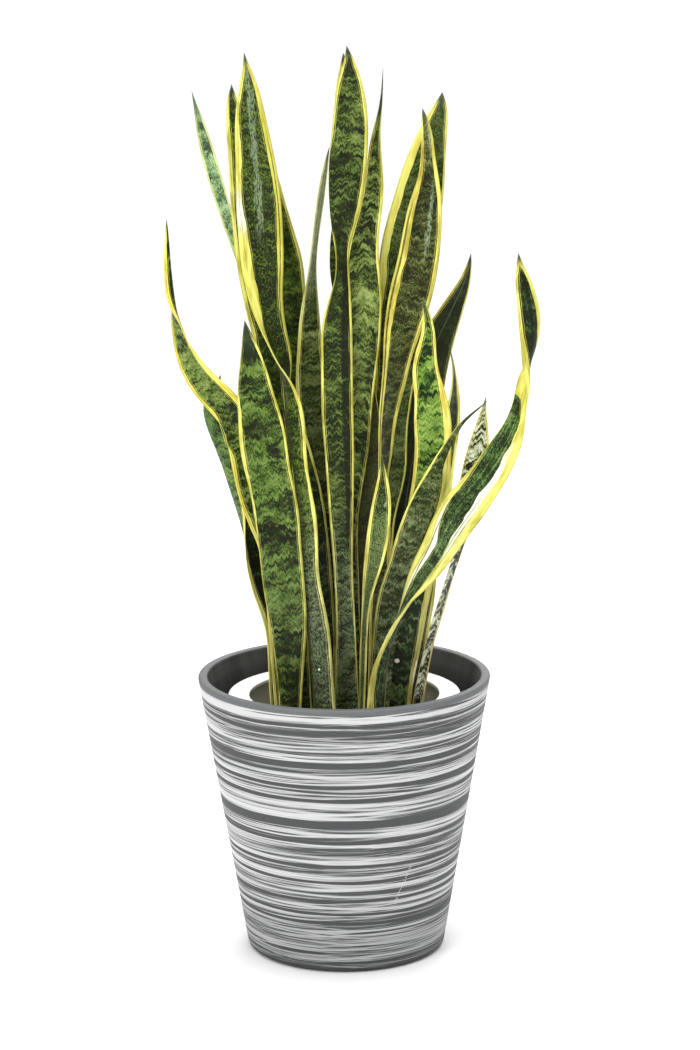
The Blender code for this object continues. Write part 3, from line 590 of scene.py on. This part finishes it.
def rings_of(shape):
    """A leaf's tip, and its rows of eight points from the top one down."""
    fans = [v for v in shape.verts if len(v.link_edges) == len(ROW_SHARES)]
    tip = max(fans, key=lambda v: v.co.z)
    row_of = {tip: 0}
    rows = [[tip]]
    while rows[-1]:
        near = {e.other_vert(v) for v in rows[-1] for e in v.link_edges}
        fresh = [v for v in near if v not in row_of]
        row_of.update({v: len(rows) for v in fresh})
        rows.append(fresh)
    rows.pop()

    def joined(point, step):
        others = [e.other_vert(point) for e in point.link_edges]
        return [v for v in others if row_of[v] == row_of[point] + step]

    # In every row the left margin alone joins a single point of the row below
    ring = [next(v for v in rows[1] if len(joined(v, 1)) == 1)]
    while len(ring) < len(ROW_SHARES):
        ring.append(next(v for v in joined(ring[-1], 0) if v not in ring))
    rings = [ring]
    for _ in rows[2:]:
        over = rings[-1]
        under = [None] * len(ROW_SHARES)
        under[LEFT] = joined(over[LEFT], 1)[0]
        for order in ((1, 2, 3), (7, 6, 5)):
            for i in order:
                last = under[(i - 1 if i < RIGHT else i + 1) % len(ROW_SHARES)]
                under[i] = next(v for v in joined(over[i], 1) if v is not last)
        beside = (under[RIGHT - 1], under[RIGHT + 1])
        under[RIGHT] = next(v for v in joined(over[RIGHT], 1) if v not in beside)
        rings.append(under)
    return tip, rings


def map_leaf(shape, tip, rings):
    """Maps each point's place across and along the leaf, the half width there and the way to the tip."""
    blade = shape.loops.layers.uv["blade"]
    span = shape.loops.layers.uv["span"]
    middles = [tip.co.copy()] + [(ring[LEFT].co + ring[RIGHT].co) / 2 for ring in rings]
    lengths = [(b - a).length for a, b in zip(middles, middles[1:])]
    to_tip = np.concatenate([[0.0], np.cumsum(lengths)])
    facts = {tip: (0.0, 0.0, 0.0)}
    for ring, reach in zip(rings, to_tip[1:]):
        half = (ring[RIGHT].co - ring[LEFT].co).length / 2
        for v, share in zip(ring, ROW_SHARES):
            facts[v] = (share * half, half, reach)
    for face in shape.faces:
        for loop in face.loops:
            across, half, reach = facts[loop.vert]
            loop[blade].uv = (across, to_tip[-1] - reach)
            loop[span].uv = (half, reach)


def curl(rings, pushes):
    """Rounds the turn of a leaf that turns over, from its (height, push of middle, push of margin)."""
    heights, of_middle, of_margin = zip(*pushes)
    for ring in rings:
        height = sum(v.co.z for v in ring) / len(ring)
        middle = np.interp(height, heights, of_middle)
        margin = np.interp(height, heights, of_margin)
        for v, share in zip(ring, ROW_SHARES):
            v.co.x += middle * (1 - share * share) + margin * max(share, 0) ** 2


def square_up(shape, tip, rings):
    """Takes out the slanting edges, which leaves four-sided faces, and marks tip and margins as crisp."""
    kept = {frozenset((v, w)) for over, under in zip(rings, rings[1:]) for v, w in zip(over, under)}
    kept |= {frozenset((ring[i], ring[i - 1])) for ring in rings for i in range(len(ring))}
    kept |= {frozenset((tip, v)) for v in rings[0]}
    slanting = [e for e in shape.edges if frozenset(e.verts) not in kept]
    bmesh.ops.dissolve_edges(shape, edges=slanting, use_verts=False)
    tip[shape.verts.layers.float["crease_vert"]] = 1.0
    crisp = shape.edges.layers.float["crease_edge"]
    for side in (LEFT, RIGHT):
        line = [tip] + [ring[side] for ring in rings]
        for v, w in zip(line, line[1:]):
            shape.edges.get((v, w))[crisp] = 1.0


def leaf(node, number, look):
    """A leaf made smooth from the part's own solid."""
    deselect()
    piece = bpy.data.objects.new(node + "_blade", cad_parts[node].data.copy())
    bpy.context.scene.collection.objects.link(piece)
    pick(piece)
    bpy.ops.object.mode_set(mode="EDIT")
    bpy.ops.mesh.select_all(action="SELECT")
    bpy.ops.mesh.remove_doubles(threshold=SAME_POINT)
    bpy.ops.object.mode_set(mode="OBJECT")

    shape = bmesh.new()
    shape.from_mesh(piece.data)
    for layers, names in (
            (shape.loops.layers.uv, ("blade", "span")),
            (shape.edges.layers.float, ("crease_edge",)),
            (shape.verts.layers.float, ("crease_vert",))):
        for name in names:
            layers.new(name)
    tip, rings = rings_of(shape)
    up = tip.co - (rings[0][LEFT].co + rings[0][RIGHT].co) / 2
    out = (rings[0][RIGHT].co - rings[0][LEFT].co).cross(up)
    if (rings[0][FRONT].co - rings[0][BACK].co).dot(out) < 0:
        rings = [[ring[LEFT], *reversed(ring[1:])] for ring in rings]
    map_leaf(shape, tip, rings)
    if look["curl"]:
        curl(rings, look["curl"])
    square_up(shape, tip, rings)
    shape.to_mesh(piece.data)
    shape.free()

    pick(piece)
    bpy.ops.object.modifier_add(type="SUBSURF")
    smooth = piece.modifiers[-1]
    smooth.levels = LEAF_SMOOTHING
    smooth.render_levels = LEAF_SMOOTHING
    bpy.ops.object.modifier_apply(modifier=smooth.name)
    bpy.ops.object.shade_smooth()
    set_down(piece, LeafSkin(node + "_skin", number, look), node)


# The planter, the grow pot, its collar and the soil

def arc(centre, radius, start, end, steps=6):
    """Points (radius, height) on a round corner, from one angle to another in degrees."""
    angles = np.radians(np.linspace(start, end, steps + 1))
    return [(centre[0] + radius * math.cos(a), centre[1] + radius * math.sin(a)) for a in angles]


def turned(name, profile, closed=False):
    """A round piece: a disc or a ring that is drawn out from one (radius, height) point to the next."""
    deselect()
    radius, height = profile[0]
    fill = "NOTHING" if closed else "TRIFAN"
    bpy.ops.mesh.primitive_circle_add(
        vertices=TURNED_SIDES, radius=radius, fill_type=fill, location=(0, 0, height))
    piece = bpy.context.active_object
    piece.name = piece.data.name = name
    settle(piece)
    bpy.ops.object.mode_set(mode="EDIT")
    bpy.ops.mesh.select_mode(type="VERT")
    bpy.ops.mesh.select_all(action="DESELECT")
    shape = bmesh.from_edit_mesh(piece.data)
    for v in shape.verts:
        v.select = v.co.xy.length > radius / 2
    shape.select_flush_mode()
    bmesh.update_edit_mesh(piece.data)
    stations = profile[1:] + ([profile[0]] if closed else [])
    for new_radius, new_height in stations:
        rise = new_height - height
        bpy.ops.mesh.extrude_region_move(TRANSFORM_OT_translate={"value": (0, 0, rise)})
        ratio = new_radius / radius
        bpy.ops.transform.resize(value=(ratio, ratio, 1), center_override=(0, 0, new_height))
        radius, height = new_radius, new_height
    if closed:
        bpy.ops.mesh.select_all(action="SELECT")
        bpy.ops.mesh.remove_doubles(threshold=SAME_POINT)
    else:
        bpy.ops.mesh.extrude_region_move()
        bpy.ops.mesh.merge(type="CENTER")
    bpy.ops.mesh.select_all(action="SELECT")
    bpy.ops.mesh.normals_make_consistent(inside=False)
    bpy.ops.object.mode_set(mode="OBJECT")
    bpy.ops.object.shade_smooth_by_angle(angle=math.radians(CRISP_ANGLE))
    return piece


def planter_radius(height):
    """The planter's outer radius at a height."""
    return FOOT_RADIUS + (RIM_RADIUS - FOOT_RADIUS) * height / PLANTER_HEIGHT


# Bands on the planter where the brush left the grey bare, and the whitest one: height, half thickness
DARK_BANDS = (
    (0.3145, 0.0018), (0.2670, 0.0042), (0.2395, 0.0026), (0.2225, 0.0024), (0.1915, 0.0056),
    (0.1675, 0.0024), (0.1375, 0.0024), (0.1175, 0.0018), (0.0930, 0.0020), (0.0760, 0.0020),
    (0.0640, 0.0020), (0.0040, 0.0030))
WHITE_BAND = (0.3225, 0.0042)

# The scuff on the planter's front, low on the right, and the unpainted top of its wall
SCUFF_X = 0.067
SCUFF_HEIGHT = 0.109
SCUFF_LEAN = 0.42
SCUFF_HALF_WIDTH = 0.0013
SCUFF_HALF_HEIGHT = 0.028
BARE_RIM = 0.007


def streaked_paint():
    """Silver-white paint brushed round a dark grey wall, with a bare rim and a dark inside."""
    paint = Finish("streaked_planter", Roughness=0.5)
    place = paint.place()
    x, y, z = paint.parts(place)
    radius = (x * x + y * y).math("SQRT")
    wobble = paint.noise(paint.vector(x * 4, y * 4, z * 8), detail=2) - 0.5
    level = z + wobble * 0.006
    rising = z + (x * 0.03 + y * 0.02) + wobble * 0.012
    falling = z - (x * 0.026 - y * 0.03) - wobble * 0.012
    broad = paint.noise(paint.vector(x * 1.2, y * 1.2, level * 110), detail=1)
    first = paint.noise(paint.vector(x * 1.7, y * 1.7, rising * 330), detail=4, roughness=0.62)
    second = paint.noise(paint.vector(x * 1.7, y * 1.7, falling * 400 + 40), detail=4, roughness=0.62)
    bristle = paint.noise(paint.vector(x * 6, y * 6, level * 1300), detail=2, roughness=0.7)
    stroke = first.math("MAXIMUM", second)
    cover = broad * 0.5 + stroke * 1.1 + (bristle - 0.5) * 0.4
    for height, thickness in DARK_BANDS:
        depth = paint.step(abs(level - height), thickness * 1.1, thickness * 0.5)
        cover = cover - depth * (stroke * 0.4 + 0.16)
    height, thickness = WHITE_BAND
    cover = cover + paint.step(abs(level - height), thickness, 0.002) * 0.12
    lowered = paint.step(z, 0.14, 0.02)
    coat = paint.ramp(cover + 0.015 - lowered * 0.02, [
        (0.77, colour(66, 67, 68)), (0.82, colour(92, 93, 94)), (0.86, colour(161, 162, 162)),
        (0.95, colour(203, 204, 203))])
    coat = paint.mix(lowered * 0.6, coat, colour(200, 201, 201), "MULTIPLY")

    ragged = paint.noise(place, 240, detail=4, roughness=0.7) - 0.5
    aside = abs(x - SCUFF_X - (z - SCUFF_HEIGHT) * SCUFF_LEAN + ragged * 0.010)
    scuff = paint.step(aside, SCUFF_HALF_WIDTH, 0.0003) * paint.step(y, 0, -0.02)
    scuff = scuff * paint.step(abs(z - SCUFF_HEIGHT), SCUFF_HALF_HEIGHT, 0.02)
    scuff = scuff * paint.step(paint.noise(place, 700, detail=1), 0.46, 0.6)
    coat = paint.mix(scuff, coat, colour(206, 207, 207))

    # The bare rim and the dark inside
    grain = paint.noise(place, 420, detail=2)
    bare = paint.mix(grain, colour(86, 88, 90), colour(108, 110, 111))
    sheen = paint.noise(paint.vector(x * 30, y * 30, z * 3), detail=2)
    inside = paint.mix(paint.step(sheen, 0.3, 0.7), colour(50, 50, 48), colour(82, 81, 79))
    paint_top = PLANTER_HEIGHT - BARE_RIM
    rim = paint.step(z, paint_top - 0.0005, paint_top + 0.0005)
    wall = planter_radius(z) - 0.004
    inner = paint.step(radius, wall, wall - 0.001)
    inner = inner * paint.step(z, PLANTER_HEIGHT - 0.0004, PLANTER_HEIGHT - 0.0016)
    shown = paint.mix(inner, paint.mix(rim, coat, bare), inside)
    relief = cover * (1 - rim) * (1 - inner) + grain * 0.12
    paint.feed(
        Base_Color=shown,
        Roughness=0.62 - paint.step(cover, 0.7, 1.0) * (1 - rim) * 0.2,
        Normal=paint.bump(relief, 0.35, 0.0012))
    return paint


def planter():
    inner_top = RIM_RADIUS - RIM_WIDTH
    inner_floor = planter_radius(FLOOR_THICKNESS) - RIM_WIDTH
    profile = [(inner_floor, FLOOR_THICKNESS)]
    profile += arc((inner_top + RIM_ROUNDING, PLANTER_HEIGHT - RIM_ROUNDING), RIM_ROUNDING, 180, 90)
    profile += arc((RIM_RADIUS - RIM_ROUNDING, PLANTER_HEIGHT - RIM_ROUNDING), RIM_ROUNDING, 90, 0)
    foot = planter_radius(FOOT_ROUNDING) - FOOT_ROUNDING
    profile += arc((foot, FOOT_ROUNDING), FOOT_ROUNDING, 0, -90)
    set_down(turned("planter_shell", profile), streaked_paint(), "planter")


def moulded_plastic(name, first, second, roughness):
    """Plain moulded plastic with a faint grain and a little unevenness in its colour."""
    plastic = Finish(name)
    place = plastic.place()
    cloud = plastic.noise(place, 14, detail=3)
    grain = plastic.noise(place, 900, detail=1)
    plastic.feed(
        Base_Color=plastic.mix(cloud, first, second),
        Roughness=roughness + (cloud - 0.5) * 0.16,
        Normal=plastic.bump(grain, 0.12, 0.0003))
    return plastic


def grow_pot():
    profile = [
        (GROW_POT_FOOT_RADIUS - GROW_POT_WALL, GROW_POT_FOOT + GROW_POT_WALL),
        (GROW_POT_TOP_RADIUS - GROW_POT_WALL, GROW_POT_TOP),
        (LIP_RADIUS, GROW_POT_TOP),
        (LIP_RADIUS, GROW_POT_TOP - LIP_THICKNESS),
        (GROW_POT_TOP_RADIUS - 0.0003, GROW_POT_TOP - LIP_THICKNESS),
        (GROW_POT_FOOT_RADIUS, GROW_POT_FOOT)]
    olive, light_olive = colour(192, 191, 174), colour(208, 207, 190)
    finish = moulded_plastic("olive_plastic", olive, light_olive, 0.55)
    set_down(turned("grow_pot_shell", profile), finish, "grow_pot")


def collar():
    high = COLLAR_LOW + COLLAR_THICKNESS - COLLAR_ROUNDING
    profile = [(COLLAR_INNER_RADIUS, COLLAR_LOW)]
    profile += arc((COLLAR_INNER_RADIUS + COLLAR_ROUNDING, high), COLLAR_ROUNDING, 180, 90, 4)
    profile += arc((COLLAR_OUTER_RADIUS - COLLAR_ROUNDING, high), COLLAR_ROUNDING, 90, 0, 4)
    profile.append((COLLAR_OUTER_RADIUS, COLLAR_LOW))
    white, bright_white = colour(236, 236, 234), colour(246, 246, 245)
    finish = moulded_plastic("white_plastic", white, bright_white, 0.42)
    set_down(turned("collar_ring", profile, closed=True), finish, "collar")


def potting_soil():
    """Dark crumbs of peat and bark with a few pale grains."""
    soil = Finish("potting_soil", Roughness=0.95)
    place = soil.place()
    crumb = soil.noise(place, 190, detail=4, roughness=0.7)
    clump = soil.noise(place, 45, detail=3)
    pale = soil.step(soil.noise(place, 330, detail=1), 0.71, 0.76)
    earth = soil.ramp(crumb, [
        (0.3, colour(28, 21, 16)), (0.52, colour(58, 44, 33)), (0.72, colour(92, 72, 54))])
    soil.feed(
        Base_Color=soil.mix(pale, earth, colour(196, 190, 178)),
        Normal=soil.bump(crumb + clump, 0.9, 0.003))
    return soil


def soil():
    """The soil's body, with a crumbly top."""
    profile = [(SOIL_RADIUS * share, SOIL_TOP) for share in np.linspace(0.04, 1.0, SOIL_STEPS)]
    profile.append((SOIL_FLOOR_RADIUS, SOIL_FLOOR))
    piece = turned("soil_body", profile)
    rng = np.random.default_rng(3)
    for v in piece.data.vertices:
        away = SOIL_RADIUS - v.co.xy.length
        if v.co.z > SOIL_TOP - 0.001 and away > 0.002:
            v.co.z -= rng.uniform(0.0, SOIL_CRUMB)
    set_down(piece, potting_soil(), "soil")


# Studio

def studio():
    """A wide pale floor, soft lights and the camera."""
    deselect()
    bpy.ops.mesh.primitive_plane_add(size=FLOOR_SIZE, location=(0, 0, -FLOOR_DROP))
    floor = bpy.context.active_object
    floor.name = "floor"
    paper = Finish("white_paper", Base_Color=(0.93, 0.93, 0.93, 1), Roughness=0.9)
    floor.data.materials.append(paper.material)

    for name, place, size, power, aim in LAMPS:
        bpy.ops.object.light_add(type="AREA", location=place)
        light = bpy.context.active_object
        light.name = name
        light.data.shape = "DISK"
        light.data.size = size
        light.data.energy = power
        ahead = Vector((0, 0, aim)) - Vector(place)
        light.rotation_euler = ahead.to_track_quat("-Z", "Y").to_euler()

    bpy.ops.object.light_add(type="SUN", location=(0, 0, 4))
    overhead = bpy.context.active_object
    overhead.name = "overhead"
    overhead.data.energy = OVERHEAD_STRENGTH
    overhead.data.angle = math.radians(OVERHEAD_SPREAD)

    world = bpy.data.worlds.new("studio")
    world.use_nodes = True
    sky = world.node_tree.nodes["Background"]
    sky.inputs["Color"].default_value = (1, 1, 1, 1)
    sky.inputs["Strength"].default_value = SKY_STRENGTH
    bpy.context.scene.world = world
    bpy.context.scene.view_settings.view_transform = "Standard"

    bpy.ops.object.camera_add(location=CAMERA_PLACE)
    camera = bpy.context.active_object
    camera.name = "camera"
    down = Euler((math.radians(90 - CAMERA_DOWN), 0, 0)).to_matrix()
    roll = Euler((0, 0, math.radians(-CAMERA_ROLL))).to_matrix()
    camera.rotation_euler = (down @ roll).to_euler()
    camera.data.lens = CAMERA_LENS
    camera.data.sensor_width = SENSOR_WIDTH
    camera.data.clip_end = FARTHEST_SEEN
    bpy.context.scene.camera = camera


def main():
    studio()
    planter()
    grow_pot()
    collar()
    soil()
    for number, (node, look) in enumerate(LEAF_LOOKS.items()):
        leaf(node, number, {**LEAF_LOOK, **look})


main()
